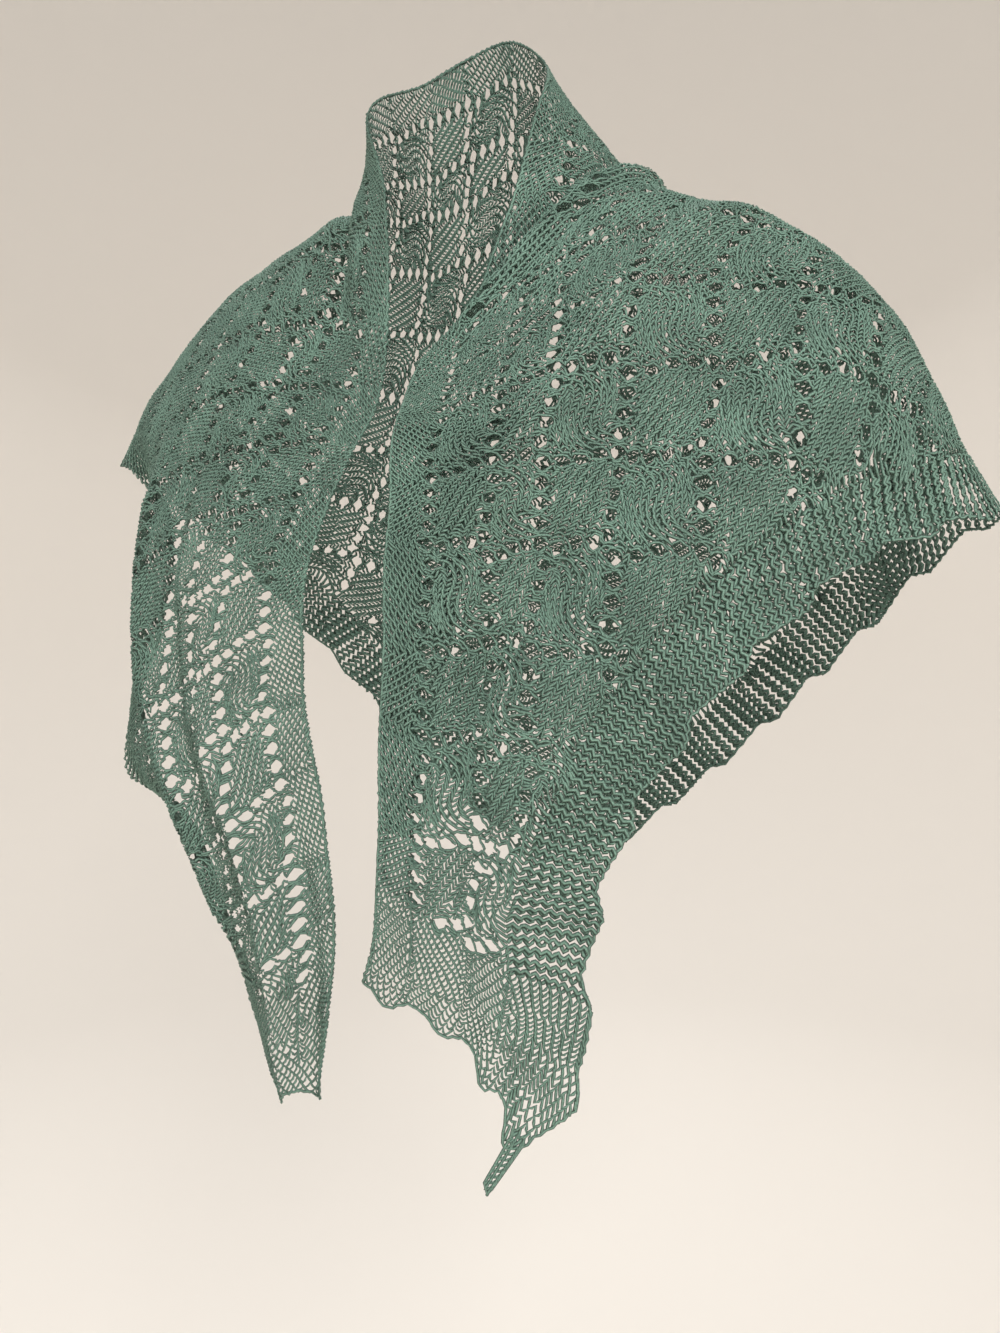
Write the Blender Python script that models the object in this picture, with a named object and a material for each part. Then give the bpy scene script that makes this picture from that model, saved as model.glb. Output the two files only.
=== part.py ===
"""A hand-knitted lace shawl, worn round the neck and shoulders with both ends hanging at the front.

It is knitted sideways: its rows run from the top edge, which goes round the neck and down the two fronts, to the
hem. SECTIONS gives one such row at each place along the shawl, from the wearer's right end to the left one, as the
cloth lies over a general figure. The wearer faces -Y, the wearer's left is +X, and the origin is where the neck
meets the shoulders. Each stretch of the shawl is a thin closed wall that follows the surface through the sections.
"""

import bpy
import numpy as np

# Driving dimensions, in metres.
WALL = 0.0016  # cloth with its yarn
SEAM = 0.0004  # between two stretches
EDGING = 0.036  # width of the knitted-on edging
POINT_PITCH = 0.046  # from one point of the edging to the next
POINT_REACH = 0.007  # how far a point stands out past the hem
TIP_LENGTH = 0.060  # plain knitting at each end, along the shawl
TURNED_DROP = 0.004  # from the left front to its top edge, turned under
TAIL_LENGTH = 0.026  # the last point at the left end

# The cloth along each section, in millimetres: at the top edge, a third and two thirds of the way, and at the hem.
SECTIONS = (
    # name          top edge          yoke              brow              hem
    ("right_tip", (-6, -146, -457), (-18, -134, -463), (-32, -142, -468), (-46, -130, -468)),
    ("right_shin", (9, -152, -372), (-25, -152, -388), (-56, -138, -398), (-84, -112, -405)),
    ("right_hip", (4, -152, -310), (-42, -152, -330), (-84, -134, -346), (-132, -92, -340)),
    ("right_wing", (-10, -147, -240), (-78, -144, -262), (-148, -108, -288), (-206, -60, -318)),
    ("right_arm", (-12, -135, -182), (-98, -125, -190), (-172, -80, -208), (-203, -24, -232)),
    ("right_sleeve", (-2, -114, -135), (-108, -92, -125), (-192, -42, -140), (-224, 10, -168)),
    ("right_point", (4, -88, -90), (-112, -50, -62), (-222, 5, -84), (-298, 52, -132)),
    ("right_neck", (-14, -56, 5), (-94, -3, 0), (-188, 46, -42), (-262, 100, -180)),
    ("right_nape", (-58, 0, 66), (-84, 62, 6), (-136, 105, -110), (-190, 128, -255)),
    ("back_right", (-52, 62, 98), (-58, 100, -6), (-78, 125, -160), (-95, 138, -345)),
    ("back_middle", (-12, 80, 120), (-5, 110, 0), (-3, 130, -190), (0, 140, -410)),
    ("back_left", (24, 66, 100), (62, 104, 0), (80, 125, -160), (98, 138, -345)),
    ("left_nape", (44, 16, 66), (96, 58, 10), (142, 105, -110), (185, 126, -258)),
    ("left_neck", (44, -40, -22), (112, 5, 7), (206, 50, -38), (256, 100, -184)),
    ("left_point", (34, -102, -88), (114, -62, -50), (227, 0, -67), (290, 58, -160)),
    ("left_arm", (31, -124, -120), (100, -118, -118), (195, -68, -136), (240, -30, -178)),
    ("left_wing", (36, -142, -175), (85, -140, -185), (150, -118, -205), (194, -98, -230)),
    ("left_bust", (38, -152, -250), (78, -152, -262), (118, -142, -276), (158, -124, -288)),
    ("left_hip", (37, -155, -318), (66, -155, -332), (100, -148, -348), (135, -132, -358)),
    ("left_shin", (34, -155, -362), (66, -155, -378), (101, -148, -396), (132, -132, -428)),
    ("left_tip", (27, -155, -391), (56, -153, -400), (86, -148, -418), (109, -140, -463)),
)

# Pleats and folds, each a soft ridge (or, with a height below zero, a trough) from one place on the cloth to another.
# A place is a section's name and the share of the way down it. Half width and height are in millimetres.
FOLDS = (
    # from            down    to              down   half width  height
    ("right_tip", 0.55, "right_wing", 0.30, 9, 7),
    ("right_tip", 0.25, "right_hip", 0.12, 8, -6),
    ("right_shin", 0.80, "right_sleeve", 0.62, 10, 7),
    ("right_hip", 0.55, "right_sleeve", 0.42, 10, -5),
    ("right_nape", 0.20, "right_point", 0.12, 11, -7),
    ("left_nape", 0.17, "left_point", -0.06, 10, -11),
    ("left_nape", 0.24, "left_point", 0.03, 10, 8),
    ("left_neck", 0.42, "left_wing", 0.16, 14, 8),
    ("left_point", 0.52, "left_bust", 0.30, 10, -5),
    ("left_point", 0.66, "left_bust", 0.55, 12, 5),
    ("left_wing", 0.28, "left_tip", 0.40, 8, -6),
    ("left_wing", 0.46, "left_tip", 0.62, 9, 6),
    ("back_right", 0.30, "back_right", 0.95, 16, 6),
    ("back_middle", 0.25, "back_middle", 0.90, 14, -5),
    ("back_left", 0.32, "back_left", 0.95, 15, 6),
)

# The stretches along the shawl: the section each ends at, and its nodes' names. A collar stands above the yokes.
STRETCHES = (
    # ends at        lace                           edging
    ("right_arm", "right_front", "right_front_edging"),
    ("right_neck", "right_shoulder", "right_arm_edging"),
    ("right_nape", "right_yoke", "right_yoke_edging"),
    ("left_nape", "back", "back_edging"),
    ("left_neck", "left_yoke", "left_yoke_edging"),
    ("left_arm", "left_shoulder", "left_arm_edging"),
    ("left_tip", "left_front", "left_front_edging"),
)

COLOURS = {
    "lace": (0.115, 0.190, 0.145),
    "edging": (0.125, 0.205, 0.155),
}
ROUGHNESS = 0.85

LACE_STEPS = 13  # across the lace, from the top edge to the edging
COLLAR_STEPS = 3  # of those, across the collar
EDGING_STEPS = 3
TURNED_STEPS = 4  # of the lace's, across the edge that is turned under

ALONG_STEPS = 360  # the surface is worked out once on a fine grid, then read from it
DOWN_STEPS = 96


def through(rows, places):
    """A smooth curve through the rows, one a whole number apart, read at the places."""
    rows = np.asarray(rows, float)
    last = len(rows) - 1
    start = np.clip(np.floor(places).astype(int), 0, last - 1)
    share = (places - start).reshape(-1, *([1] * (rows.ndim - 1)))
    before = np.where(start > 0, start - 1, 0)
    after = np.where(start + 2 <= last, start + 2, last)
    a, b, c, d = rows[before], rows[start], rows[start + 1], rows[after]
    a = np.where((start > 0).reshape(share.shape), a, 2 * b - c)
    d = np.where((start + 2 <= last).reshape(share.shape), d, 2 * c - b)
    slope_b, slope_c = (c - a) / 2, (d - b) / 2
    return (
        b * (1 + 2 * share) * (1 - share) ** 2
        + slope_b * share * (1 - share) ** 2
        + c * share**2 * (3 - 2 * share)
        + slope_c * share**2 * (share - 1)
    )


def evenly(points, count):
    """Points at equal distances along the polyline through these points, and its length."""
    steps = np.linalg.norm(np.diff(points, axis=0), axis=1)
    run = np.concatenate([[0], np.cumsum(steps)])
    wanted = np.linspace(0, run[-1], count)
    return np.stack([np.interp(wanted, run, points[:, i]) for i in range(3)], 1), run[-1]


def normals_of(grid):
    """The outward direction at each point of the grid."""
    along = np.gradient(grid, axis=0)
    down = np.gradient(grid, axis=1)
    out = np.cross(along, down)
    return out / np.linalg.norm(out, axis=2, keepdims=True)


def stations():
    """How far along the shawl each section lies, from 0 to 1."""
    table = np.array([row[1:] for row in SECTIONS], float)
    steps = np.linalg.norm(np.diff(table, axis=0), axis=2).mean(axis=1)
    run = np.concatenate([[0], np.cumsum(steps)])
    return {row[0]: run[i] / run[-1] for i, row in enumerate(SECTIONS)}


class Cloth:
    """The surface of the worn shawl. along goes from 0 at the right end to 1 at the left, down is in metres."""

    def __init__(self):
        table = np.array([row[1:] for row in SECTIONS], float) / 1000
        self.place = stations()
        known = np.array(list(self.place.values()))
        self.along = np.linspace(0, 1, ALONG_STEPS)
        index = np.interp(self.along, known, np.arange(len(known)))
        rows = through(table, index)
        thirds = np.linspace(0, 3, DOWN_STEPS)
        grid = np.empty((ALONG_STEPS, DOWN_STEPS, 3))
        self.depth = np.empty(ALONG_STEPS)
        for i, row in enumerate(rows):
            grid[i], self.depth[i] = evenly(through(row, thirds), DOWN_STEPS)
        middle = grid[:, DOWN_STEPS // 2]
        self.length = np.linalg.norm(np.diff(middle, axis=0), axis=1).sum()
        out = normals_of(grid)
        self.grid = grid + out * self.folds()[..., None]
        self.out = normals_of(self.grid)

    def folds(self):
        """How far each point of the grid is lifted by the pleats and folds."""
        down = np.linspace(0, 1, DOWN_STEPS)
        flat_x = self.along[:, None] * self.length + 0 * down
        flat_y = self.depth[:, None] * down
        lift = np.zeros(flat_x.shape)
        for first, down_first, last, down_last, half_width, height in FOLDS:
            ends = []
            for name, share in ((first, down_first), (last, down_last)):
                at = self.place[name]
                ends.append((at * self.length, share * np.interp(at, self.along, self.depth)))
            (x0, y0), (x1, y1) = ends
            run = np.hypot(x1 - x0, y1 - y0)
            unit_x, unit_y = (x1 - x0) / run, (y1 - y0) / run
            on = (flat_x - x0) * unit_x + (flat_y - y0) * unit_y
            off = (flat_x - x0) * unit_y - (flat_y - y0) * unit_x
            fade = half_width / 1000 * 3
            ends_fade = np.clip((on + fade) / (2 * fade), 0, 1) * np.clip((run + fade - on) / (2 * fade), 0, 1)
            lift += height / 1000 * np.exp(-((off / (half_width / 1000)) ** 2)) * ends_fade**2
        return lift

    def read(self, along, down):
        """Points and outward directions at these places: down is in metres from the top edge."""
        along, down = np.broadcast_arrays(along, down)
        row = np.clip(along, 0, 1) * (ALONG_STEPS - 1)
        depth = np.interp(along, self.along, self.depth)
        column = down / depth * (DOWN_STEPS - 1)
        i = np.clip(row.astype(int), 0, ALONG_STEPS - 2)
        j = np.clip(column.astype(int), 0, DOWN_STEPS - 2)
        a, b = (row - i)[..., None], (column - j)[..., None]
        found = []
        for table in (self.grid, self.out):
            near = table[i, j] * (1 - a) + table[i + 1, j] * a
            far = table[i, j + 1] * (1 - a) + table[i + 1, j + 1] * a
            found.append(near * (1 - b) + far * b)
        return found[0], found[1] / np.linalg.norm(found[1], axis=-1, keepdims=True)


def material(name, colour):
    made = bpy.data.materials.new(name)
    made.use_nodes = True
    shader = made.node_tree.nodes["Principled BSDF"]
    shader.inputs["Base Color"].default_value = (*colour, 1)
    shader.inputs["Roughness"].default_value = ROUGHNESS
    shader.inputs["Metallic"].default_value = 0
    made.diffuse_color = (*colour, 1)
    return made


def wall(name, points, out, finish, lift=0.0):
    """A closed wall on a grid of points: the cloth's two faces, half its thickness to each side, and its rim."""
    rows, columns = points.shape[:2]
    faces = []
    front = points + out * (lift + WALL / 2)
    back = points + out * (lift - WALL / 2)
    vertices = np.concatenate([front.reshape(-1, 3), back.reshape(-1, 3)])
    under = rows * columns

    def at(i, j):
        return i * columns + j

    for i in range(rows - 1):
        for j in range(columns - 1):
            a, b, c, d = at(i, j), at(i + 1, j), at(i + 1, j + 1), at(i, j + 1)
            faces.append((a, b, c, d))
            faces.append((under + d, under + c, under + b, under + a))
    rim = [at(i, 0) for i in range(rows)]
    rim += [at(rows - 1, j) for j in range(1, columns)]
    rim += [at(i, columns - 1) for i in range(rows - 2, -1, -1)]
    rim += [at(0, j) for j in range(columns - 2, 0, -1)]
    for a, b in zip(rim, rim[1:] + rim[:1]):
        low, high = min(a, b), max(a, b)
        faces.append((b, a, under + high))
        faces.append((under + a, under + b, low))
    mesh = bpy.data.meshes.new(name)
    mesh.from_pydata(vertices.tolist(), [], faces)
    mesh.validate()
    mesh.shade_smooth()
    made = bpy.data.objects.new(name, mesh)
    made.data.materials.append(finish)
    bpy.context.scene.collection.objects.link(made)
    return made


class Panels:
    """One grid of points over the whole shawl, three columns to each point of the edging, and the walls cut from it."""

    def __init__(self, cloth):
        self.cloth = cloth
        steps = np.linalg.norm(np.diff(cloth.grid[:, -1], axis=0), axis=1)
        run = np.concatenate([[0], np.cumsum(steps)])
        count = 3 * round(run[-1] / POINT_PITCH)
        self.along = np.interp(np.linspace(0, run[-1], count + 1), run, cloth.along)
        depth = np.interp(self.along, cloth.along, cloth.depth)[:, None]
        lace = (depth - EDGING) * np.linspace(0, 1, LACE_STEPS + 1)
        edging = depth - EDGING * np.linspace(1, 0, EDGING_STEPS + 1)[1:]
        down = np.concatenate([lace, edging], axis=1)
        self.points, self.out = cloth.read(self.along[:, None], down)
        self.stand_out()

    def stand_out(self):
        """Draws out the points of the edging, at the hem and at both ends, and the tail at the left end."""
        hem = self.points[:, -1] - self.points[:, -2]
        hem /= np.linalg.norm(hem, axis=1, keepdims=True)
        self.points[1:-1:3, -1] += hem[1:-1:3] * POINT_REACH
        for end, inner in ((0, 1), (-1, -2)):
            away = self.points[end] - self.points[inner]
            away /= np.linalg.norm(away, axis=1, keepdims=True)
            self.points[end, 1::4] += away[1::4] * POINT_REACH
        self.points[-1, -1] += away[-1] * (TAIL_LENGTH - POINT_REACH)

    def column(self, along):
        return int(np.abs(self.along - along).argmin())

    def piece(self, name, finish, columns, rows):
        """The wall between two columns and two rows, drawn in by half a seam wherever it meets another piece."""
        first, last = columns
        top, bottom = rows
        part = np.s_[first : last + 1, top : bottom + 1]
        points, out = self.points[part].copy(), self.out[part]
        inside = (
            (first > 0, np.s_[0, :], np.s_[1, :]),
            (last < len(self.along) - 1, np.s_[-1, :], np.s_[-2, :]),
            (top > 0, np.s_[:, 0], np.s_[:, 1]),
            (bottom < self.points.shape[1] - 1, np.s_[:, -1], np.s_[:, -2]),
        )
        for meets, edge, inner in inside:
            if meets:
                step = points[inner] - points[edge]
                points[edge] += step / np.linalg.norm(step, axis=1, keepdims=True) * SEAM / 2
        wall(name, points, out, finish)

    def turned_edge(self, name, finish, columns):
        """The top edge of a front, turned under: it starts face to face with the front and falls away from it."""
        first, last = columns
        part = np.s_[first : last + 1, : TURNED_STEPS + 1]
        drop = np.full(TURNED_STEPS + 1, TURNED_DROP)
        drop[0] = WALL + SEAM
        wall(name, self.points[part], self.out[part], finish, -drop[:, None])


def main():
    for old in list(bpy.data.objects):
        bpy.data.objects.remove(old)
    cloth = Cloth()
    panels = Panels(cloth)
    lace = material("lace", COLOURS["lace"])
    edging = material("edging", COLOURS["edging"])
    all_rows = LACE_STEPS + EDGING_STEPS
    last_column = len(panels.along) - 1
    tip = panels.column(TIP_LENGTH / cloth.length)
    neck = panels.column(cloth.place["right_neck"]), panels.column(cloth.place["left_neck"])
    first = tip
    for ends_at, lace_name, edging_name in STRETCHES:
        last = min(panels.column(cloth.place[ends_at]), last_column - tip)
        under_collar = neck[0] <= first and last <= neck[1]
        top = COLLAR_STEPS if under_collar else 0
        panels.piece(lace_name, lace, (first, last), (top, LACE_STEPS))
        panels.piece(edging_name, edging, (first, last), (LACE_STEPS, all_rows))
        first = last
    panels.piece("collar", lace, neck, (0, COLLAR_STEPS))
    panels.piece("right_tip", edging, (0, tip), (0, all_rows))
    panels.piece("left_tip", edging, (last_column - tip, last_column), (0, all_rows))
    turned = panels.column(cloth.place["left_arm"]), last_column - tip
    panels.turned_edge("left_turned_edge", lace, turned)


main()
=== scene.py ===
"""A hand-knitted lace shawl, worn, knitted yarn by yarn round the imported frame.

The cloth's surface is the frame's: the sections and folds below are the ones that the CAD walls follow.
Every row of knitting is one continuous yarn that runs from the top edge to the hem, and the lace is that
yarn pushed aside round its eyelets. Places on the cloth are given in millimetres: X along the shawl from its
left end, Y from the top edge towards the hem, and Z out of the cloth.
"""

from collections import namedtuple

import bpy
import numpy as np
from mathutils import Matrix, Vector


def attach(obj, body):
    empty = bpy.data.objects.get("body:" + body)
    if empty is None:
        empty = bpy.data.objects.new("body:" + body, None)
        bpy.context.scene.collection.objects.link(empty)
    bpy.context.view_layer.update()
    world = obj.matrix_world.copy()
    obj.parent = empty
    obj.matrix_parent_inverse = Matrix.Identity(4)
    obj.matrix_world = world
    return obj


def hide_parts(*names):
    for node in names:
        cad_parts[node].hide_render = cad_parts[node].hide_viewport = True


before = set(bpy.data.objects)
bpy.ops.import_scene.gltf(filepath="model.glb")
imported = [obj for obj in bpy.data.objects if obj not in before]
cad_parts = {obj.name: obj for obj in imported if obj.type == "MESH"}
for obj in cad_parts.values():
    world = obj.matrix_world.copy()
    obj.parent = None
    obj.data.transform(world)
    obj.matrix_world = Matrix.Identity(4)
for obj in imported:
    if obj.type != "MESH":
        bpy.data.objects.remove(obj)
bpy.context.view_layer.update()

# ---------------------------------------------------------------- the worn cloth, as in the CAD

# The cloth along each section, in millimetres: at the top edge, a third and two thirds of the way down, and
# at the hem.
SECTIONS = (
    # name          top edge          yoke              brow              hem
    ("right_tip", (-6, -146, -457), (-18, -134, -463), (-32, -142, -468), (-46, -130, -468)),
    ("right_shin", (9, -152, -372), (-25, -152, -388), (-56, -138, -398), (-84, -112, -405)),
    ("right_hip", (4, -152, -310), (-42, -152, -330), (-84, -134, -346), (-132, -92, -340)),
    ("right_wing", (-10, -147, -240), (-78, -144, -262), (-148, -108, -288), (-206, -60, -318)),
    ("right_arm", (-12, -135, -182), (-98, -125, -190), (-172, -80, -208), (-203, -24, -232)),
    ("right_sleeve", (-2, -114, -135), (-108, -92, -125), (-192, -42, -140), (-224, 10, -168)),
    ("right_point", (4, -88, -90), (-112, -50, -62), (-222, 5, -84), (-298, 52, -132)),
    ("right_neck", (-14, -56, 5), (-94, -3, 0), (-188, 46, -42), (-262, 100, -180)),
    ("right_nape", (-58, 0, 66), (-84, 62, 6), (-136, 105, -110), (-190, 128, -255)),
    ("back_right", (-52, 62, 98), (-58, 100, -6), (-78, 125, -160), (-95, 138, -345)),
    ("back_middle", (-12, 80, 120), (-5, 110, 0), (-3, 130, -190), (0, 140, -410)),
    ("back_left", (24, 66, 100), (62, 104, 0), (80, 125, -160), (98, 138, -345)),
    ("left_nape", (44, 16, 66), (96, 58, 10), (142, 105, -110), (185, 126, -258)),
    ("left_neck", (44, -40, -22), (112, 5, 7), (206, 50, -38), (256, 100, -184)),
    ("left_point", (34, -102, -88), (114, -62, -50), (227, 0, -67), (290, 58, -160)),
    ("left_arm", (31, -124, -120), (100, -118, -118), (195, -68, -136), (240, -30, -178)),
    ("left_wing", (36, -142, -175), (85, -140, -185), (150, -118, -205), (194, -98, -230)),
    ("left_bust", (38, -152, -250), (78, -152, -262), (118, -142, -276), (158, -124, -288)),
    ("left_hip", (37, -155, -318), (66, -155, -332), (100, -148, -348), (135, -132, -358)),
    ("left_shin", (34, -155, -362), (66, -155, -378), (101, -148, -396), (132, -132, -428)),
    ("left_tip", (27, -155, -391), (56, -153, -400), (86, -148, -418), (109, -140, -463)),
)

# Pleats and folds, each a soft ridge (or, with a height below zero, a trough) from one place to another.
# Down is the share of the cloth's depth, and widths and heights are in millimetres.
FOLDS = (
    # from            down    to              down   half width  height
    ("right_tip", 0.55, "right_wing", 0.30, 9, 7),
    ("right_tip", 0.25, "right_hip", 0.12, 8, -6),
    ("right_shin", 0.80, "right_sleeve", 0.62, 10, 7),
    ("right_hip", 0.55, "right_sleeve", 0.42, 10, -5),
    ("right_nape", 0.20, "right_point", 0.12, 11, -7),
    ("left_nape", 0.17, "left_point", -0.06, 10, -11),
    ("left_nape", 0.24, "left_point", 0.03, 10, 8),
    ("left_neck", 0.42, "left_wing", 0.16, 14, 8),
    ("left_point", 0.52, "left_bust", 0.30, 10, -5),
    ("left_point", 0.66, "left_bust", 0.55, 12, 5),
    ("left_wing", 0.28, "left_tip", 0.40, 8, -6),
    ("left_wing", 0.46, "left_tip", 0.62, 9, 6),
    ("back_right", 0.30, "back_right", 0.95, 16, 6),
    ("back_middle", 0.25, "back_middle", 0.90, 14, -5),
    ("back_left", 0.32, "back_left", 0.95, 15, 6),
)

MM = 0.001
EDGING = 36.0  # width of the knitted-on edging
POINT_PITCH = 46.0  # from one point of the edging to the next
POINT_REACH = 7.0  # how far a point stands out past the hem
TIP_LENGTH = 60.0  # open knitting at each end, along the shawl
TAIL_LENGTH = 26.0  # the last point at the left end
TAIL_WIDTH = 9.0
COLLAR_SHARE = 3 / 13  # of the lace, standing or rolled round the neck
TURNED_SHARE = 4 / 13  # of the lace, turned under at the top edge of the left front
TURNED_DROP = 3.6  # from the left front to the cloth turned under it

ALONG_STEPS = 720  # points of the grid along the cloth
DOWN_STEPS = 160
SLOPE_WINDOW = 41  # steps along the cloth that the hem's slope is averaged over
SLOPE_EASE = 60.0  # how far from an end's open knitting the slope is whole
FOLD_FADE = 3  # how far each way a fold's ends die away, in its half widths
SPREAD_LIMITS = (0.6, 1.6)  # of the rows' spacing, past which the yarn's width no longer follows it


def through(rows, places):
    """A smooth curve through the rows, one a whole number apart, read at the places."""
    rows = np.asarray(rows, float)
    last = len(rows) - 1
    start = np.clip(np.floor(places).astype(int), 0, last - 1)
    share = (places - start).reshape(-1, *([1] * (rows.ndim - 1)))
    before = np.where(start > 0, start - 1, 0)
    after = np.where(start + 2 <= last, start + 2, last)
    a, b, c, d = rows[before], rows[start], rows[start + 1], rows[after]
    a = np.where((start > 0).reshape(share.shape), a, 2 * b - c)
    d = np.where((start + 2 <= last).reshape(share.shape), d, 2 * c - b)
    slope_b, slope_c = (c - a) / 2, (d - b) / 2
    return (
        b * (1 + 2 * share) * (1 - share) ** 2
        + slope_b * share * (1 - share) ** 2
        + c * share**2 * (3 - 2 * share)
        + slope_c * share**2 * (share - 1)
    )


def evenly(points, count):
    """Points at equal distances along the polyline through these points, and its length."""
    steps = np.linalg.norm(np.diff(points, axis=0), axis=1)
    run = np.concatenate([[0], np.cumsum(steps)])
    wanted = np.linspace(0, run[-1], count)
    return np.stack([np.interp(wanted, run, points[:, i]) for i in range(3)], 1), run[-1]


def unit(vectors):
    return vectors / np.maximum(np.linalg.norm(vectors, axis=-1, keepdims=True), 1e-9)


def normals_of(grid):
    return unit(np.cross(np.gradient(grid, axis=0), np.gradient(grid, axis=1)))


class Cloth:
    """The surface of the worn shawl, from its left end (X = 0) to its right end (X = length)."""

    def __init__(self):
        table = np.array([row[1:] for row in SECTIONS], float)[::-1]
        steps = np.linalg.norm(np.diff(table, axis=0), axis=2).mean(axis=1)
        run = np.concatenate([[0], np.cumsum(steps)])
        share = run / run[-1]
        along = np.linspace(0, 1, ALONG_STEPS)
        rows = through(table, np.interp(along, share, np.arange(len(share))))
        thirds = np.linspace(0, 3, DOWN_STEPS)
        grid = np.empty((ALONG_STEPS, DOWN_STEPS, 3))
        self.depth = np.empty(ALONG_STEPS)
        for i, row in enumerate(rows):
            grid[i], self.depth[i] = evenly(through(row, thirds), DOWN_STEPS)
        middle = grid[:, DOWN_STEPS // 2]
        self.length = np.linalg.norm(np.diff(middle, axis=0), axis=1).sum()
        self.along = along * self.length
        self.place = {row[0]: share[-1 - i] * self.length for i, row in enumerate(SECTIONS)}
        out = -normals_of(grid)
        self.grid = grid + out * self.folds()[..., None]
        self.out = -normals_of(self.grid)
        hem = np.linalg.norm(np.diff(self.grid[:, -1], axis=0), axis=1)
        self.hem_run = np.concatenate([[0], np.cumsum(hem)])
        self.slope = self.hem_slope()
        step = np.linalg.norm(np.gradient(self.grid, axis=0), axis=-1)
        self.spread = np.sqrt(np.clip(step * (ALONG_STEPS - 1) / self.length, *SPREAD_LIMITS))

    def hem_slope(self):
        """How steeply the hem runs away from the top edge, as Y to X, eased to nothing at both ends."""
        window = np.hanning(SLOPE_WINDOW)
        slope = np.convolve(np.gradient(self.depth, self.along), window / window.sum(), "same")
        at_end = np.minimum(self.along, self.length - self.along)
        ease = np.clip((at_end - TIP_LENGTH) / SLOPE_EASE, 0, 1)
        return np.clip(slope, -1, 1) * ease**2 * (3 - 2 * ease)

    def slope_at(self, x):
        return np.interp(x, self.along, self.slope)

    def folds(self):
        """How far each point of the grid is lifted by the pleats and folds."""
        flat_x = self.along[:, None] + np.zeros(DOWN_STEPS)
        flat_y = self.depth[:, None] * np.linspace(0, 1, DOWN_STEPS)
        lift = np.zeros(flat_x.shape)
        for first, down_first, last, down_last, half_width, height in FOLDS:
            x0, x1 = self.place[first], self.place[last]
            y0 = down_first * self.depth_at(x0)
            y1 = down_last * self.depth_at(x1)
            run = np.hypot(x1 - x0, y1 - y0)
            unit_x, unit_y = (x1 - x0) / run, (y1 - y0) / run
            on = (flat_x - x0) * unit_x + (flat_y - y0) * unit_y
            off = (flat_x - x0) * unit_y - (flat_y - y0) * unit_x
            fade = half_width * FOLD_FADE
            ends = np.clip((on + fade) / (2 * fade), 0, 1) * np.clip((run + fade - on) / (2 * fade), 0, 1)
            lift += height * np.exp(-((off / half_width) ** 2)) * ends**2
        return lift

    def depth_at(self, x):
        return np.interp(x, self.along, self.depth)

    def hem_at(self, x):
        """How far along the hem the row at X ends."""
        return np.interp(x, self.along, self.hem_run)

    def area(self, start, end, near, far):
        """The cloth's area in square millimetres, and its depth, from start to end and from near to far."""
        i = np.arange(*np.searchsorted(self.along, (start, end)))
        i = i[i < ALONG_STEPS - 1]
        u = self.grid[i + 1, :-1] - self.grid[i, :-1]
        v = self.grid[i, 1:] - self.grid[i, :-1]
        cells = np.linalg.norm(np.cross(u, v), axis=-1)
        down = self.depth[i, None] * (np.arange(DOWN_STEPS - 1) + 0.5) / (DOWN_STEPS - 1)
        low, high = near(self.depth[i]), far(self.depth[i])
        inside = (down > low[:, None]) & (down < high[:, None])
        return (cells * inside).sum(), (high - low).max()

    def spread_at(self, x, y):
        """How much fuller the yarn is where rows lie apart, and how much thinner where they are close."""
        i = np.clip((x / self.length * (ALONG_STEPS - 1)).astype(int), 0, ALONG_STEPS - 1)
        j = np.clip((y / self.depth_at(x) * (DOWN_STEPS - 1)).astype(int), 0, DOWN_STEPS - 1)
        return self.spread[i, j]

    def read(self, x, y):
        """Points and outward directions here. Past the hem or an end the cloth goes straight on."""
        row = x / self.length * (ALONG_STEPS - 1)
        column = y / self.depth_at(x) * (DOWN_STEPS - 1)
        i = np.clip(row.astype(int), 0, ALONG_STEPS - 2)
        j = np.clip(column.astype(int), 0, DOWN_STEPS - 2)
        a, b = (row - i)[..., None], (column - j)[..., None]
        found = []
        for table in (self.grid, self.out):
            near = table[i, j] * (1 - a) + table[i + 1, j] * a
            far = table[i, j + 1] * (1 - a) + table[i + 1, j + 1] * a
            found.append(near * (1 - b) + far * b)
        return found[0], unit(found[1])


# ---------------------------------------------------------------- the knitting

ROW = 2.5  # from one row of knitting to the next
STITCH = 4.3  # width of a stitch
BACK_STITCH = 5.4  # the same behind the neck, which the photo doesn't show
EDGING_STITCH = 5.2
YARN = 0.78  # half the width of the yarn
LOOSE_YARN = 0.74  # the same at the ends, where the knitting is looser
EDGING_YARN = 1.03  # and in the edging, where it lies in close ridges
YARN_JITTER = 0.05  # unevenness of its width, as a share
ARCH = (-0.30, 0.45, 1.25, 0.45)  # how far along X a stitch reaches at its foot, leg, head and leg, in rows
DIP = (-0.6, 0.6, -0.6, 0.6)  # how far it stands out there
LEAN = 0.5  # how fast the stitches slant across a plain cell, in Y to X
LEAST_STITCH = 0.6  # the least share of a stitch that is knitted next to the edging
GARTER = 0.8  # how far the rows of the edging stand out and in, by turns
RIDGE_ARCH = 0.45  # how much of a stitch's reach the rows that stand out keep
RIDGE_DIP = -0.3  # and how much of its dip
GROOVE_ARCH = 0.7
GROOVE_DIP = 0.8
JITTER = 0.13  # unevenness from one stitch to the next
SEED = 7
END_REACH = 14.0  # how far from an end its points start to stand out
END_PITCH = 31.0
END_POINT = 9.0
POINT_RISE = 0.7  # the share of a point of the edging that rises, before it falls back

# Slow unevenness of hand knitting, two waves for each of X, Y and Z. The lengths are of one radian.
WAVES = (
    # height  length along X, Y    height  length along X, Y
    ((0.50, 17, 31), (0.35, -43, 11)),
    ((0.50, 13, -23), (0.30, 29, 19)),
    ((0.35, 15, 12), (0.30, 27, -18)),
)

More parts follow.
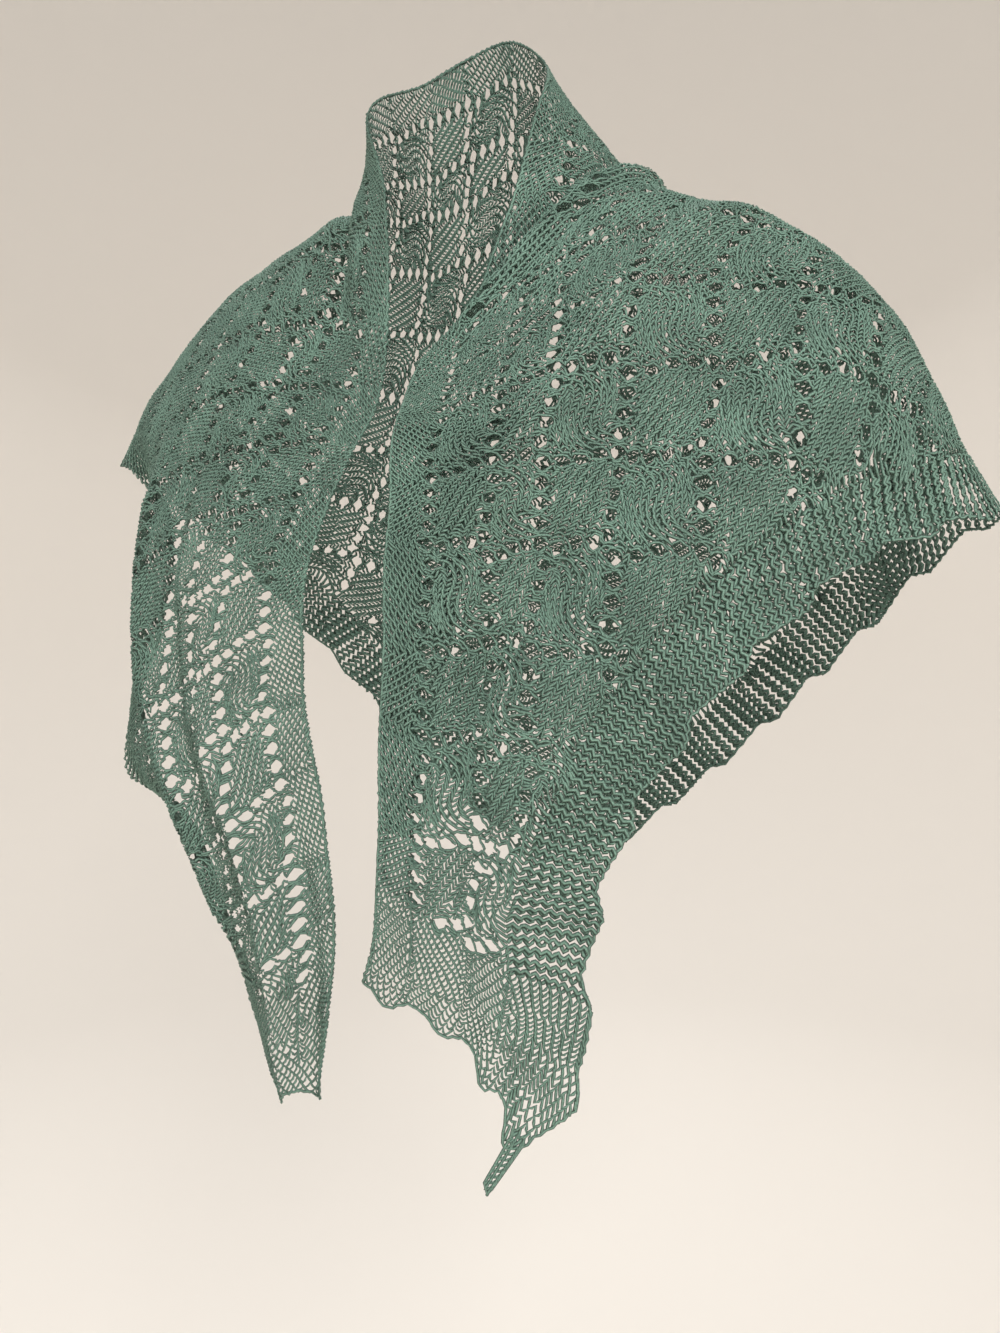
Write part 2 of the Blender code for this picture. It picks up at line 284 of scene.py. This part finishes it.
# The chains along the edges.
BORDER = 0.85  # half their width
BORDER_STEP = 2.6
BORDER_SWAY = 0.45  # how far their links lie to each side, by turns
BORDER_LIFT = 0.4  # and how far they stand out and in
TOP_EDGE = 0.6  # where the top one lies, in Y
TOP_LIMIT = -0.2  # its least Y

TAIL_TAPER = 0.35  # the share of its width that the tail loses towards its end
TAIL_TURN = 0.12  # how fast it turns down, in Y to X

# The lace: lines of eyelets (ladders) at these distances from the top edge, and on to the hem in even steps.
LADDERS = (24, 55, 78, 113, 154, 197, 238)
LADDER_STEP = 41
REPEAT = 90.0  # one repeat of the lace along a ladder
STAGGER = 52.5  # how far along the next ladder's repeat starts
FIRST_NODE = 60.0  # where the first ladder's first repeat starts
EYELET_STEP = 10.0  # from one eyelet to the next along a ladder
RUNGS = 5  # round eyelets up a ladder
CHAIN = 4  # ovals below them
DIAGONAL = 3  # from a ladder's top to the next ladder's foot
SLOT_STEP = 8.6  # from one long oval to the next across a cell, two stitches
SLOTS_RISE = 12.5  # from a ladder's foot to the lowest oval of the next
SLOTS_START = 0.2  # the share of that by which a row of slots starts early
CHAIN_LEAN = 1.6  # how far each oval of a chain stands from the next in Y
EYELET_MARGIN = 5.0  # no eyelet is this near to the top edge or the edging

# Each kind of eyelet: half length along X, half width along Y, and slant from X towards Y.
RUNG = (3.7, 3.0, 0.12)
OVAL = (3.7, 2.2, 0.22)
ROUND = (2.9, 2.6, 0.15)
SLOT = (4.4, 1.9, 0.30)

LEAF_TURN = 0.9  # radians that the middle of a leaf is turned
LEAF_LENGTH = 23.0  # half of a leaf, along X
LEAF_RISE = 0.8  # how far its middle stands out

# How eyelets push the yarn. Distances are shares of an eyelet's half length along X and half width along Y.
YARN_ROOM = 0.8  # the share of the yarn's half width that is added to an eyelet
SEARCH = 12.0  # how far along X an eyelet can be from a row and still push it, in millimetres
PUSH_LIMIT = 2.4  # how far the push reaches
PUSH_LEAST = 0.05  # places nearer to an eyelet's middle are pushed as from here
CLEAR_LEAST = 0.2  # the same for yarn that is moved out to an eyelet's edge
CALM_X = 0.75  # near an eyelet the stitches reach less far, over a longer and narrower oval
CALM_Y = 1.3
CALM_FROM = 0.8
CALM_OVER = 1.1
CALM_LEAST = 0.1


def ladder_lines(depth):
    lines = list(LADDERS)
    while lines[-1] < depth:
        lines.append(lines[-1] + LADDER_STEP)
    return np.array(lines, float)


def between_rows(x):
    """The nearest place halfway between two rows, where no yarn runs through an eyelet's middle."""
    return np.round(x / ROW) * ROW


def eyelets(length, lines):
    """X, Y and the kind's three sizes for every eyelet."""
    made = []
    for m, line in enumerate(lines[:-1]):
        gap = lines[m + 1] - line
        start = FIRST_NODE + m * STAGGER
        start -= np.ceil((start + REPEAT) / REPEAT) * REPEAT
        top = (RUNGS - 1) * EYELET_STEP
        slots = round(gap / SLOT_STEP)
        for node in np.arange(start, length + REPEAT, REPEAT):
            for k in range(RUNGS):
                made.append((node + k * EYELET_STEP, line, *RUNG))
            for k in range(1, CHAIN + 1):
                shift = CHAIN_LEAN * ((CHAIN + 1) / 2 - k)
                made.append((node - k * EYELET_STEP, line + shift, *OVAL))
            for k in range(1, DIAGONAL + 1):
                share = k / (DIAGONAL + 1)
                made.append((node + top + (STAGGER - top) * share, line + gap * share, *ROUND))
            for k in range(1, slots):
                share = k / slots
                made.append((node + SLOTS_RISE * (share - SLOTS_START), line + gap * share, *SLOT))
    found = np.array(made)
    found[:, 0] = between_rows(found[:, 0])
    return found


class Holes:
    """The eyelets near a row, each an oval that slants from X towards Y."""

    def __init__(self, near):
        self.x, self.y, half_length, half_width, self.slant = near.T
        self.half_length = half_length + YARN * YARN_ROOM
        self.half_width = half_width + YARN * YARN_ROOM

    def seen_from(self, x, y):
        """How far the places are from each eyelet's middle, in its half lengths and half widths."""
        off = x - self.x
        return off / self.half_length, (y[:, None] - self.y - self.slant * off) / self.half_width

    def pushed(self, x, y, dx, dy):
        """The row at X moved by dx and dy, less so near an eyelet, and spread round the eyelets."""
        from_x, from_y = self.seen_from(x, y)
        reach = np.maximum(np.hypot(from_x, from_y), PUSH_LEAST)
        push = (reach**3 + 1) ** (1 / 3) / reach - 1
        push[reach > PUSH_LIMIT] = 0
        above = np.hypot(CALM_X * from_x, CALM_Y * from_y).min(axis=1)
        calm = np.clip((above - CALM_FROM) / CALM_OVER, CALM_LEAST, 1)
        push_x = push * from_x * self.half_length
        push_y = push * (from_y * self.half_width + self.slant * (x - self.x))
        return x + dx * calm + push_x.sum(axis=1), y + dy * calm + push_y.sum(axis=1)

    def cleared(self, x, y):
        """Moves what still lies in an eyelet straight out to its edge."""
        reach = np.hypot(*self.seen_from(x[:, None], y))
        nearest = reach.argmin(axis=1)
        least = reach[np.arange(len(x)), nearest]
        grow = np.where(least < 1, 1 / np.maximum(least, CLEAR_LEAST), 1)
        middle_x, middle_y = self.x[nearest], self.y[nearest]
        return middle_x + (x - middle_x) * grow, middle_y + (y - middle_y) * grow


class Lace:
    """Where the stitches stand and how the yarn is pushed about, over the whole shawl."""

    def __init__(self, cloth):
        self.cloth = cloth
        self.lines = ladder_lines(cloth.depth.max())
        found = eyelets(cloth.length, self.lines)
        x, y = found[:, 0], found[:, 1]
        between_tips = (x > TIP_LENGTH) & (x < cloth.length - TIP_LENGTH)
        inside = (y > EYELET_MARGIN) & (y < cloth.depth_at(x) - EDGING - EYELET_MARGIN)
        self.eyelets = found[between_tips & inside]
        self.random = np.random.default_rng(SEED)

    def phase(self, m, x):
        """How far the row at X is through the repeat that starts on ladder m."""
        return np.mod(x - FIRST_NODE - m * STAGGER, REPEAT)

    def stitch_at(self, x):
        behind = self.cloth.place["left_nape"] < x < self.cloth.place["right_nape"]
        return BACK_STITCH if behind else STITCH

    def edges(self, x, end):
        """Where one stitch of the row at X ends and the next starts, from the top edge to end."""
        found = []
        near = 0.0
        stitch = self.stitch_at(x)
        for m, far in enumerate(self.lines):
            count = max(1, round((far - near) / stitch))
            width = (far - near) / count
            turn = REPEAT / 2
            slant = LEAN * (turn - abs(self.phase(m - 1, x) - turn))
            shift = np.mod(slant / width + 0.5, 1) - 0.5
            inner = near + width * (np.arange(1, count) + shift)
            found.extend([near, *inner])
            near = far
            if near >= end:
                break
        found = np.array(found)
        found = found[found < end - LEAST_STITCH * stitch]
        return np.append(found, end)

    def stitches(self, x, hem, edging_from):
        """The yarn of the row at X with no lace: Y, reach along X in rows, and height."""
        edges = self.edges(x, edging_from)
        count = max(1, round((hem - edging_from) / EDGING_STITCH))
        edges = np.concatenate([edges, np.linspace(edging_from, hem, count + 1)[1:]])
        near, far = edges[:-1, None], edges[1:, None]
        y = (near + (far - near) * np.arange(len(ARCH)) / len(ARCH)).ravel()
        arch, dip = np.tile(ARCH, len(near)), np.tile(DIP, len(near))
        return np.append(y, hem), np.append(arch, ARCH[0]), np.append(dip, DIP[0])

    def cell(self, x, y):
        """The ladders on both sides, how far through the repeat, and whether that cell is a plain one."""
        strip = np.clip(np.searchsorted(self.lines, y) - 1, 0, len(self.lines) - 2)
        near, far = self.lines[strip], self.lines[strip + 1]
        across = (y - near) / (far - near)
        phase = self.phase(strip, x)
        top = (RUNGS - 1) * EYELET_STEP
        plain = (phase > SLOTS_RISE * across) & (phase < top + (STAGGER - top) * across)
        return near, far, phase, plain

    def twirled(self, x, y, dx, dy):
        """Turns the knitting round the middle of each leaf, the cell that isn't plain."""
        near, far, phase, _ = self.cell(x, y)
        from_x = phase - (STAGGER + REPEAT) / 2 + dx
        from_y = y - (near + far) / 2 + dy
        reach = np.hypot(from_x / LEAF_LENGTH, from_y / ((far - near) / 2))
        angle = LEAF_TURN * np.clip(1 - reach**2, 0, 1) ** 1.5
        cos, sin = np.cos(angle), np.sin(angle)
        new_x = from_x * cos - from_y * sin
        new_y = from_x * sin + from_y * cos
        return dx + new_x - from_x, dy + new_y - from_y, np.clip(1 - reach, 0, 1)

    def leaning(self, x, y, dx, in_lace, worked):
        """How far the stitches reach along X and Y and stand out: slanting, and turned in the leaves."""
        plain = self.cell(x, y)[3]
        dy = np.where(plain, LEAN, -LEAN) * dx * in_lace
        turned_x, turned_y, leaf = self.twirled(x, y, dx, dy)
        leafy = in_lace & worked
        return np.where(leafy, turned_x, dx), np.where(leafy, turned_y, dy), LEAF_RISE * leaf * leafy

    def pushed(self, x, y, dx, dy):
        """Where the yarn of the row at X lies: moved by dx and dy, and pushed out of the eyelets near it."""
        near = self.eyelets[np.abs(self.eyelets[:, 0] - x) < SEARCH]
        if len(near) == 0:
            return x + dx, y + dy
        holes = Holes(near)
        return holes.cleared(*holes.pushed(x, y, dx, dy))


def sawtooth(run):
    """The outline of the edging's points: each rises slowly and falls back fast."""
    share = np.mod(run / POINT_PITCH, 1)
    return np.where(share < POINT_RISE, share / POINT_RISE, (1 - share) / (1 - POINT_RISE))


def hem_reach(cloth, x):
    return POINT_REACH * sawtooth(cloth.hem_at(x))


def wander(x, y):
    """The waves' heights at these places, in millimetres, for X, Y and Z."""
    return [sum(height * np.sin(x / run_x + y / run_y) for height, run_x, run_y in pair) for pair in WAVES]


def end_reach(cloth, x, y):
    """How far along X an end's own points pull the knitting near it."""
    at_end = np.minimum(x, cloth.length - x)
    wave = 0.5 - 0.5 * np.cos(2 * np.pi * y / END_PITCH)
    pull = END_POINT * wave**1.5 * np.clip(1 - at_end / END_REACH, 0, 1)
    return np.sign(x - cloth.length / 2) * pull


def unevenness(lace, x, y):
    """How far an uneven hand and an end's points move the yarn at these places, along X, Y and Z."""
    along, down, rise = wander(x, y)
    shake = lace.random.normal(0, JITTER, (3, len(y)))
    return along + shake[0] + end_reach(lace.cloth, x, y), down + shake[1], rise + shake[2]


def edging_place(cloth, x, y, edging_from, reach):
    """Where a row crosses the edging: square to the hem, with its stitches reaching along the hem."""
    slope = cloth.slope_at(x)
    to_x = x - slope * EDGING / (1 + slope**2)
    to_y = cloth.depth_at(to_x) + hem_reach(cloth, to_x)
    share = (y - edging_from) / (y[-1] - edging_from)
    return x + (to_x - x) * share + reach, edging_from + (to_y - edging_from) * share + slope * reach


class Row:
    """One row of knitting: a yarn from the top edge to the hem."""

    def __init__(self, lace, x, drop=0.0, worked=True):
        cloth = lace.cloth
        depth = cloth.depth_at(x)
        self.edging_from = depth - EDGING
        self.y, arch, dip = lace.stitches(x, depth + hem_reach(cloth, x), self.edging_from)
        tip = min(x, cloth.length - x) < TIP_LENGTH
        edging = (self.y > self.edging_from + 1) & (not tip)
        ridge = round(x / ROW - 0.5) % 2 == 1
        keep = RIDGE_ARCH if ridge else GROOVE_ARCH
        garter = GARTER + RIDGE_DIP * dip if ridge else GROOVE_DIP * dip - GARTER
        dx = arch * ROW * np.where(edging, keep, 1)
        dx, dy, leaf = lace.leaning(x, self.y, dx, ~edging & (not tip), worked)
        in_lace = lace.pushed(x, self.y, dx, dy)
        in_edging = edging_place(cloth, x, self.y, self.edging_from, dx)
        along, down, rise = unevenness(lace, x, self.y)
        ax, ay = np.where(edging, in_edging, in_lace)
        ax, ay = ax + along, np.maximum(ay + down, 0)
        self.places = np.stack([ax, ay], axis=1)
        self.path, self.out = cloth.read(ax, ay)
        lift = np.where(edging, garter, dip + leaf)
        self.path += self.out * (lift + rise + drop)[:, None]
        width = np.where(edging, EDGING_YARN, LOOSE_YARN if tip else YARN)
        self.radius = width * cloth.spread_at(ax, ay) * (1 + lace.random.normal(0, YARN_JITTER, len(ay)))

    def give(self, strands, near, far):
        """Adds the part of the row between two distances from the top edge to a piece, in whole stitches."""
        feet = np.arange(0, len(self.y), len(ARCH))
        first = feet[np.abs(self.y[feet] - near).argmin()]
        last = feet[np.abs(self.y[feet] - far).argmin()]
        if last > first:
            part = slice(first, last + 1)
            strands.add(self.path[part], self.out[part], self.radius[part], self.places[part])


def border(lace, xs, ys, strands):
    """A chain of stitches along an edge of the cloth, through these places on it."""
    beat = np.arange(len(xs)) % 2 * 2 - 1
    along, down, rise = unevenness(lace, xs, ys)
    ax = xs + along
    ay = np.maximum(ys + down, TOP_LIMIT) + BORDER_SWAY * beat
    path, out = lace.cloth.read(ax, ay)
    path += out * (BORDER_LIFT * beat + rise)[:, None]
    strands.add(path, out, np.full(len(xs), BORDER), np.stack([ax, ay], axis=1))


def borders(lace, start, end, top, hem):
    """The chains along the top edge and the hem between two places along the shawl."""
    cloth = lace.cloth
    xs = np.linspace(start, end, round((end - start) / BORDER_STEP) + 1)
    border(lace, xs, np.full(len(xs), TOP_EDGE), top)
    border(lace, xs, cloth.depth_at(xs) + hem_reach(cloth, xs), hem)


def end_border(lace, x, strands):
    """The chain down one end of the shawl."""
    depth = lace.cloth.depth_at(x) + hem_reach(lace.cloth, x)
    ys = np.linspace(TOP_EDGE, depth, round(depth / BORDER_STEP) + 1)
    border(lace, np.full(len(ys), float(x)), ys, strands)


def tail_row(cloth, x, near, far, strands):
    """One short row of the tail."""
    count = max(2, round((far - near) / STITCH))
    y = np.linspace(near, far, count * len(ARCH) + 1) - TAIL_TURN * x
    ax = x + np.append(np.tile(ARCH, count), ARCH[0]) * ROW
    path, out = cloth.read(ax, y)
    path += out * np.append(np.tile(DIP, count), DIP[0])[:, None]
    strands.add(path, out, np.full(len(y), YARN), np.stack([ax, y], axis=1))
    return (x, y[0]), (x, y[-1])


def tail(lace, strands):
    """The narrow last point at the left end: short rows past the hem's corner, and a chain round them."""
    cloth = lace.cloth
    hem = cloth.depth_at(0) + hem_reach(cloth, 0)
    ends = []
    for x in np.arange(-ROW / 2, -TAIL_LENGTH, -ROW):
        width = TAIL_WIDTH * (1 + TAIL_TAPER * x / TAIL_LENGTH)
        ends.append(tail_row(cloth, x, hem - width, hem, strands))
    ring = np.array([first for first, last in ends] + [last for first, last in reversed(ends)])
    path, out = cloth.read(ring[:, 0], ring[:, 1])
    strands.add(path, out, np.full(len(ring), BORDER), ring)


# ---------------------------------------------------------------- from yarn to mesh

# The yarn's section, in halves of its width: a low triangle whose top edge faces out of the cloth.
SECTION = np.array([(0.0, 0.4), (-1.0, -0.18), (1.0, -0.18)])
SIDES = len(SECTION)

# Painted shade: how light the yarn's colour is at the corners of each face. It is lit on top and painted
# darker down both sides, where shade falls between the yarns, and the back is painted between.
PAINTED_SHADE_BY_FACE = np.array([(1.0, 0.0, 0.0, 1.0), (0.5, 0.5, 0.5, 0.5), (0.0, 1.0, 1.0, 0.0)])


class Strands:
    """The mesh of one piece: tubes along yarns, gathered until the piece is made."""

    def __init__(self, name):
        self.name = name
        self.points, self.quads, self.caps, self.places = [], [], [], []
        self.count = 0

    def add(self, path, out, radius, places):
        """A yarn along the path; out is the cloth's outward direction at each of its points."""
        ahead = unit(np.gradient(path, axis=0))
        side = unit(np.cross(ahead, out))
        up = np.cross(side, ahead)
        ring = side[:, None] * SECTION[None, :, :1] + up[:, None] * SECTION[None, :, 1:]
        self.points.append((path[:, None] + ring * radius[:, None, None]).reshape(-1, 3))
        start = self.count + np.arange(len(path) - 1)[:, None] * SIDES
        a = start + np.arange(SIDES)
        b = start + np.roll(np.arange(SIDES), -1)
        self.quads.append(np.stack([a, b, b + SIDES, a + SIDES], axis=2).reshape(-1, 4))
        last = self.count + (len(path) - 1) * SIDES
        self.caps.append([self.count + 2, self.count + 1, self.count])
        self.caps.append([last, last + 1, last + 2])
        self.places.append(np.repeat(places, SIDES, axis=0))
        self.count += len(path) * SIDES

    def make(self, finish):
        """The piece as an object, in metres, with a UV map that lays it flat."""
        quads, caps = np.concatenate(self.quads), np.array(self.caps)
        corners = np.concatenate([quads.ravel(), caps.ravel()]).astype(np.int32)
        quad_starts = np.arange(len(quads)) * 4
        cap_starts = 4 * len(quads) + np.arange(len(caps)) * 3
        starts = np.concatenate([quad_starts, cap_starts]).astype(np.int32)
        mesh = mesh_of(self.name, np.concatenate(self.points) * MM, corners, starts)
        places = np.concatenate(self.places)
        low, high = places.min(axis=0), places.max(axis=0)
        flat = ((places - low) / (high - low))[corners]
        uv = mesh.uv_layers.new(name="OFBake")
        uv.data.foreach_set("uv", flat.astype(np.float32).ravel())
        # Painted shade for every corner: each quad takes its face's row of the table above, and the caps are
        # painted fully shaded.
        painted_shading = np.concatenate([np.tile(PAINTED_SHADE_BY_FACE.ravel(), len(quads) // SIDES), np.zeros(caps.size)])
        painted_shade_layer = mesh.attributes.new("painted_shading", "FLOAT", "CORNER")
        painted_shade_layer.data.foreach_set("value", painted_shading.astype(np.float32))
        mesh.shade_smooth()
        mesh.validate()
        mesh.materials.append(finish)
        return placed(self.name, mesh)


def mesh_of(name, points, corners, starts):
    """A mesh of these points, whose faces follow each other in the list of corners."""
    mesh = bpy.data.meshes.new(name)
    mesh.vertices.add(len(points))
    mesh.vertices.foreach_set("co", points.astype(np.float32).ravel())
    mesh.loops.add(len(corners))
    mesh.loops.foreach_set("vertex_index", corners)
    mesh.polygons.add(len(starts))
    mesh.polygons.foreach_set("loop_start", starts)
    mesh.update(calc_edges=True)
    return mesh


def placed(name, data):
    """A new object in the scene."""
    made = bpy.data.objects.new(name, data)
    bpy.context.scene.collection.objects.link(made)
    return made


# ---------------------------------------------------------------- the pieces


STANDS_FOR = {"left_back": "back"}  # every other piece stands for the node of its own name, if there is one

# A stretch of the shawl along X: its piece of lace, its piece of edging, and whether it has a collar.
Stretch = namedtuple("Stretch", "name start end edging collar", defaults=(None, False))


def stretches(cloth):
    at = cloth.place
    last = cloth.length - TIP_LENGTH
    return (
        Stretch("left_tip", 0.0, TIP_LENGTH),
        Stretch("left_front", TIP_LENGTH, at["left_arm"], "left_front_edging"),
        Stretch("left_shoulder", at["left_arm"], at["left_neck"], "left_arm_edging"),
        Stretch("left_yoke", at["left_neck"], at["left_nape"], "left_yoke_edging", True),
        Stretch("left_back", at["left_nape"], at["back_middle"], "back_edging", True),
        Stretch("right_back", at["back_middle"], at["right_nape"], "back_edging", True),
        Stretch("right_yoke", at["right_nape"], at["right_neck"], "right_yoke_edging", True),
        Stretch("right_shoulder", at["right_neck"], at["right_arm"], "right_arm_edging"),
        Stretch("right_front", at["right_arm"], last, "right_front_edging"),
        Stretch("right_tip", last, cloth.length),
    )


class Pieces:
    """Every piece's strands and the cloth that it covers, by name."""

    def __init__(self, cloth):
        self.cloth = cloth
        self.strands = {}
        self.covers = {}

    def piece(self, name):
        return self.strands.setdefault(name, Strands(name + "_knit"))

    def cover(self, name, start, end, near, far):
        """Notes that a piece covers the cloth from start to end along it and from near to far down it."""
        area, deepest = self.cloth.area(start, end, near, far)
        held = self.covers.get(name, (0.0, 0.0, 0.0))
        self.covers[name] = (held[0] + end - start, max(held[1], deepest), held[2] + area)


def knit_row(lace, stretch, x, pieces):
    """The row at X, shared out among its stretch's pieces."""
    row = Row(lace, x)
    if stretch.edging is None:
        row.give(pieces.piece(stretch.name), 0, row.y[-1])
        return
    collar = COLLAR_SHARE * row.edging_from if stretch.collar else 0
    if stretch.collar:
        row.give(pieces.piece("collar"), 0, collar)
    row.give(pieces.piece(stretch.name), collar, row.edging_from)
    row.give(pieces.piece(stretch.edging), row.edging_from, row.y[-1])
    if stretch.name == "left_front":
        under = Row(lace, x, drop=-TURNED_DROP, worked=False)
        under.give(pieces.piece("left_turned_edge"), 0, TURNED_SHARE * row.edging_from)


def knit(cloth, lace):
    """All the knitting, piece by piece."""
    pieces = Pieces(cloth)
    for stretch in stretches(cloth):
        first, past = np.ceil(stretch.start / ROW), np.ceil(stretch.end / ROW)
        for x in np.arange(first, past) * ROW + ROW / 2:
            if x <= cloth.length:
                knit_row(lace, stretch, x, pieces)
        top = pieces.piece("collar" if stretch.collar else stretch.name)
        borders(lace, stretch.start, stretch.end, top, pieces.piece(stretch.edging or stretch.name))
    end_border(lace, 0, pieces.piece("left_tip"))
    end_border(lace, cloth.length, pieces.piece("right_tip"))
    tail(lace, pieces.piece("left_tip"))
    return pieces


def lace_to(share):
    """How far down this share of the lace reaches, for any depth of cloth."""
    return lambda depth: share * (depth - EDGING)


def to_hem(depth):
    return depth


def declare_covers(pieces):
    """How long, how deep and how large the flat cloth of each piece is, from the worn cloth."""
    for name, start, end, edging, collar in stretches(pieces.cloth):
        if edging is None:
            pieces.cover(name, start, end, lace_to(0), to_hem)
            continue
        share = COLLAR_SHARE if collar else 0
        if collar:
            pieces.cover("collar", start, end, lace_to(0), lace_to(share))
        pieces.cover(name, start, end, lace_to(share), lace_to(1))
        pieces.cover(edging, start, end, lace_to(1), to_hem)
        if name == "left_front":
            pieces.cover("left_turned_edge", start, end, lace_to(0), lace_to(TURNED_SHARE))


def declare(piece, name):
    """Attaches the piece to the root and hides the frame's node that it stands for, if there is one."""
    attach(piece, "root")
    node = STANDS_FOR.get(name, name)
    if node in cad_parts:
        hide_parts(node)


# ---------------------------------------------------------------- finish, studio, light and camera

WOOL_LIT_TOP = (0.162, 0.268, 0.214)  # the yarn's colour at its top, painted as lit
WOOL_PAINTED_SHADE = (0.040, 0.078, 0.060)  # and the painted shade low down its sides
FLECKS = ((1100, 0.72), (28, 0.84))  # flecks and clouds: how close they lie, and how dark they go

FLOOR = -1.35
FLOOR_RADIUS = 2.2
COVE = 0.9  # radius of the curve from floor to wall
COVE_STEPS = 12
WALL_TOP = 2.4
STUDIO_SIDES = 96
PLASTER = (0.76, 0.725, 0.68, 1)

SKY_COLOUR = (1.0, 0.98, 0.95, 1)
SKY_STRENGTH = 0.24
LIGHTS = (
    # name       place             aimed at        size  power  colour
    ("window", (1.5, -1.8, 1.3), (0, 0, -0.15), 0.9, 72, (1, 0.98, 0.96)),
    ("fill", (-1.9, -1.6, 0.9), (0, 0, -0.2), 1.6, 13, (0.97, 0.99, 1)),
    ("rear", (-1.0, 1.9, 1.3), (0, 0.1, -0.1), 1.3, 50, (1, 1, 1)),
)

# The camera stands to the wearer's left and looks slightly down, as the photo's did.
AZIMUTH = np.radians(28.0)
DISTANCE = 0.765
HEIGHT = -0.146
PITCH = np.radians(8.1)
YAW = np.radians(1.8)
LENS = 36 * 1300 / 1333  # for a sensor 36 mm wide
NEAREST = 0.02


def yarn_material(name, top, low):
    """Heathered wool with painted light and shade: the lit colour of the yarn's top and the painted shade of
    its sides, both flecked and clouded.
    """
    made = bpy.data.materials.new(name)
    made.use_nodes = True
    nodes, links = made.node_tree.nodes, made.node_tree.links
    shader = nodes["Principled BSDF"]
    shader.inputs["Roughness"].default_value = 0.8
    shader.inputs["Specular IOR Level"].default_value = 0.25
    shader.inputs["Sheen Weight"].default_value = 0.10
    shader.inputs["Sheen Roughness"].default_value = 0.5
    shader.inputs["Sheen Tint"].default_value = (0.8, 0.95, 0.85, 1)
    where = nodes.new("ShaderNodeTexCoord")
    # Painted shade: each corner's stored lightness mixes the shade colour of the sides up to the lit colour
    # of the top.
    painted_shading = nodes.new("ShaderNodeAttribute")
    painted_shading.attribute_name = "painted_shading"
    body = nodes.new("ShaderNodeMix")
    body.data_type = "RGBA"
    body.inputs["A"].default_value = (*low, 1)
    body.inputs["B"].default_value = (*top, 1)
    links.new(painted_shading.outputs["Fac"], body.inputs["Factor"])
    colour = body.outputs["Result"]
    for scale, least in FLECKS:
        noise = nodes.new("ShaderNodeTexNoise")
        noise.inputs["Scale"].default_value = scale
        noise.inputs["Detail"].default_value = 2
        level = nodes.new("ShaderNodeMapRange")
        level.inputs["From Min"].default_value = 0.3
        level.inputs["From Max"].default_value = 0.7
        level.inputs["To Min"].default_value = least
        level.inputs["To Max"].default_value = 2 - least
        scaled = nodes.new("ShaderNodeVectorMath")
        scaled.operation = "SCALE"
        links.new(where.outputs["Object"], noise.inputs["Vector"])
        links.new(noise.outputs["Fac"], level.inputs["Value"])
        links.new(colour, scaled.inputs["Vector"])
        links.new(level.outputs["Result"], scaled.inputs["Scale"])
        colour = scaled.outputs["Vector"]
    links.new(colour, shader.inputs["Base Color"])
    return made


def studio_profile():
    """The studio's outline, as radius and height: the floor's edge, the cove and the top of the wall."""
    profile = [(FLOOR_RADIUS, FLOOR)]
    for turn in np.linspace(0, np.pi / 2, COVE_STEPS + 1)[1:]:
        profile.append((FLOOR_RADIUS + COVE * np.sin(turn), FLOOR + COVE * (1 - np.cos(turn))))
    profile.append((FLOOR_RADIUS + COVE, WALL_TOP))
    return profile


def stage():
    """A plain pale floor that rises into a plain wall all round, open above."""
    profile = studio_profile()
    vertices = [(0, 0, FLOOR)]
    for radius, height in profile:
        for turn in np.arange(STUDIO_SIDES) / STUDIO_SIDES * 2 * np.pi:
            vertices.append((radius * np.cos(turn), radius * np.sin(turn), height))
    sides = [(k, (k + 1) % STUDIO_SIDES) for k in range(STUDIO_SIDES)]
    faces = [(0, 1 + k, 1 + n) for k, n in sides]
    for ring in range(len(profile) - 1):
        near = 1 + ring * STUDIO_SIDES
        far = near + STUDIO_SIDES
        faces.extend((near + k, far + k, far + n, near + n) for k, n in sides)
    mesh = bpy.data.meshes.new("studio")
    mesh.from_pydata(vertices, [], faces)
    mesh.shade_smooth()
    plaster = bpy.data.materials.new("plaster")
    plaster.use_nodes = True
    shader = plaster.node_tree.nodes["Principled BSDF"]
    shader.inputs["Base Color"].default_value = PLASTER
    shader.inputs["Roughness"].default_value = 0.95
    mesh.materials.append(plaster)
    placed("studio", mesh)


def area_light(name, place, aim, size, power, colour):
    data = bpy.data.lights.new(name, "AREA")
    data.shape = "DISK"
    data.size = size
    data.energy = power
    data.color = colour
    lamp = placed(name, data)
    lamp.location = place
    lamp.rotation_mode = "QUATERNION"
    lamp.rotation_quaternion = (Vector(aim) - Vector(place)).to_track_quat("-Z", "Y")


def light():
    """A large soft window in front, a weak fill beside it, one behind for the back, and an even sky."""
    world = bpy.data.worlds.new("daylight")
    world.use_nodes = True
    sky = world.node_tree.nodes["Background"]
    sky.inputs["Color"].default_value = SKY_COLOUR
    sky.inputs["Strength"].default_value = SKY_STRENGTH
    bpy.context.scene.world = world
    bpy.context.scene.view_settings.view_transform = "Standard"
    for row in LIGHTS:
        area_light(*row)


def camera():
    data = bpy.data.cameras.new("camera")
    data.sensor_width = 36
    data.lens = LENS
    data.clip_start = NEAREST
    made = placed("camera", data)
    made.location = (DISTANCE * np.sin(AZIMUTH), -DISTANCE * np.cos(AZIMUTH), HEIGHT)
    made.rotation_euler = (np.pi / 2 - PITCH, 0, AZIMUTH - YAW)
    bpy.context.scene.camera = made


def main():
    cloth = Cloth()
    wool = yarn_material("sage_wool_painted_shade", WOOL_LIT_TOP, WOOL_PAINTED_SHADE)
    camera()
    light()
    stage()
    pieces = knit(cloth, Lace(cloth))
    declare_covers(pieces)
    for name, strands in pieces.strands.items():
        declare(strands.make(wool), name)


main()
bpy.context.view_layer.update()
